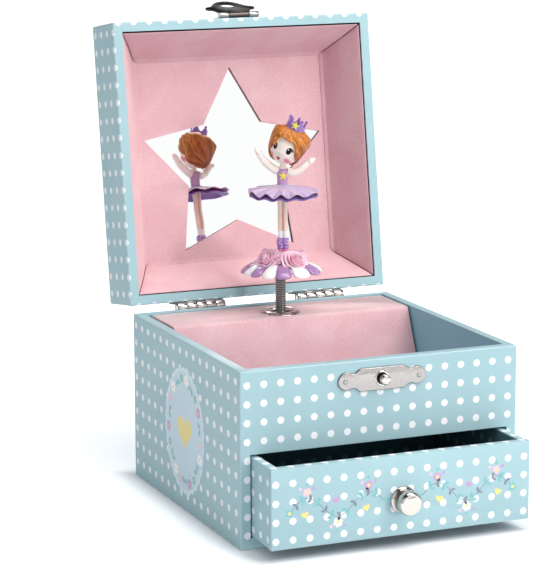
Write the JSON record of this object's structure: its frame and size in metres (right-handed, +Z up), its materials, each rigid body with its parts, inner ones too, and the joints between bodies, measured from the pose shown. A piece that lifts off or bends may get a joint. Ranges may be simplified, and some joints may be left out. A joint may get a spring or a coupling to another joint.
{
  "type": "wind-up music box",
  "caption": "Wind-up jewellery music box with a hinged lid, star-shaped mirror, drawer, clasp and a doll dancer that turns on a coil spring and folds down as the lid shuts.",
  "frame": {"origin": "centre of the box's underside, on the surface it stands on", "axes": "+Z up, +Y towards the hinges at the back, +X to the right seen from the front"},
  "size_m": [0.13, 0.2142, 0.2155],
  "materials": {
    "printed_paper": "smooth printed paper with a soft sheen",
    "grey_board": "pressed board, covered",
    "pink_lining": "suede-like lining, matt",
    "mirror_glass": "silvered glass",
    "nickel": "polished nickel plate",
    "spring_steel": "dark drawn wire",
    "doll_skin": "painted, glossy",
    "doll_hair": "painted, glossy",
    "doll_purple": "painted, glossy",
    "doll_lilac": "painted, glossy",
    "doll_pink": "painted, glossy",
    "drawer_board": "board covered in printed paper",
    "brass": "turned brass",
    "steel": "bright steel"
  },
  "bodies": {
    "box": {"base_board": "grey_board", "left_wall": "grey_board", "right_wall": "grey_board", "back_wall": "grey_board", "front_board": "grey_board", "drawer_shelf": "grey_board", "bay_partition": "grey_board", "stage_cover": "pink_lining", "stage_battens": "grey_board", "floor_liner": "pink_lining", "stage_grommet": "nickel", "box_wrap": "printed_paper", "box_hinge_leaves": "nickel", "hinge_pins": "nickel", "box_hinge_screws": "nickel", "catch_plate": "nickel", "catch_stud": "nickel", "catch_nails": "nickel", "movement_bedplate": "brass", "movement_screws": "steel", "tone_comb": "steel", "comb_screws": "steel", "spindle_bridge": "brass"},
    "lid": {"lid_top_board": "grey_board", "lid_front_wall": "grey_board", "lid_back_wall": "grey_board", "lid_end_walls": "grey_board", "lid_wrap": "printed_paper", "lid_mirror": "mirror_glass", "star_panel": "pink_lining", "lid_flaps": "pink_lining", "lid_hinge_leaves": "nickel", "lid_hinge_screws": "nickel", "hasp_bracket": "nickel", "hasp_pin": "nickel", "hasp_nails": "nickel"},
    "hasp": {"hasp_flap": "nickel"},
    "drawer": {"drawer_front": "drawer_board", "drawer_sides": "drawer_board", "drawer_back": "drawer_board", "drawer_bottom": "drawer_board", "drawer_knob": "nickel", "knob_screw": "steel"},
    "spring_post": {"figure_spring": "spring_steel"},
    "dancer": {"figure_base": "doll_purple", "base_roses": "doll_pink", "figure_legs": "doll_skin", "figure_tutu": "doll_lilac", "figure_torso": "doll_lilac", "figure_arms": "doll_skin", "figure_head": "doll_skin", "figure_hair": "doll_hair", "figure_crown": "doll_purple"},
    "drum": {"spring_drum": "brass", "mainspring": "steel"},
    "key": {"winding_arbor": "steel", "winding_key": "nickel"},
    "cylinder": {"pin_cylinder": "brass"},
    "fly": {"governor_fly": "brass"},
    "spindle": {"spindle": "brass"}
  },
  "joints": [
    {"name": "lid_hinge", "type": "hinge", "parent": "box", "child": "lid", "pos_m": [0, 0.0684, 0.07715], "axis": [1, 0, 0], "range_deg": [0, 98.5]},
    {"name": "hasp_hinge", "type": "hinge", "parent": "lid", "child": "hasp", "pos_m": [0, 0.09424, 0.21049], "axis": [1, 0, 0], "range_deg": [0, 158]},
    {"name": "drawer_slide", "type": "slide", "parent": "box", "child": "drawer", "axis": [0, -1, 0], "range_m": [-0.0216, 0.045]},
    {"name": "figure_fold", "type": "hinge", "parent": "box", "child": "spring_post", "pos_m": [0, 0.0424, 0.0734], "axis": [1, 0, 0], "range_deg": [0, 90.1], "deforming": ["figure_spring"]},
    {"name": "figure_spin", "type": "hinge", "parent": "spring_post", "child": "dancer", "pos_m": [0, 0.044, 0.096], "axis": [0, 0, 1], "continuous": true},
    {"name": "drum_spin", "type": "hinge", "parent": "box", "child": "drum", "pos_m": [0, 0.056, 0.05], "axis": [0, 1, 0], "continuous": true},
    {"name": "key_wind", "type": "hinge", "parent": "box", "child": "key", "pos_m": [0, 0.06, 0.05], "axis": [0, 1, 0], "continuous": true},
    {"name": "cylinder_spin", "type": "hinge", "parent": "box", "child": "cylinder", "pos_m": [0.02, 0.05, 0.05], "axis": [1, 0, 0], "continuous": true},
    {"name": "fly_spin", "type": "hinge", "parent": "box", "child": "fly", "pos_m": [0.046, 0.05, 0.04195], "axis": [1, 0, 0], "continuous": true},
    {"name": "spindle_spin", "type": "hinge", "parent": "box", "child": "spindle", "pos_m": [0, 0.044, 0.07], "axis": [0, 0, 1], "continuous": true}
  ],
  "couplings": [
    {"joint": "figure_fold", "follows": "lid_hinge", "ratio": 0.91371},
    {"joint": "spindle_spin", "follows": "drum_spin", "ratio": -1.3333},
    {"joint": "figure_spin", "follows": "drum_spin", "ratio": -1.3333},
    {"joint": "cylinder_spin", "follows": "drum_spin", "ratio": -3.5},
    {"joint": "fly_spin", "follows": "drum_spin", "ratio": 10.5}
  ]
}
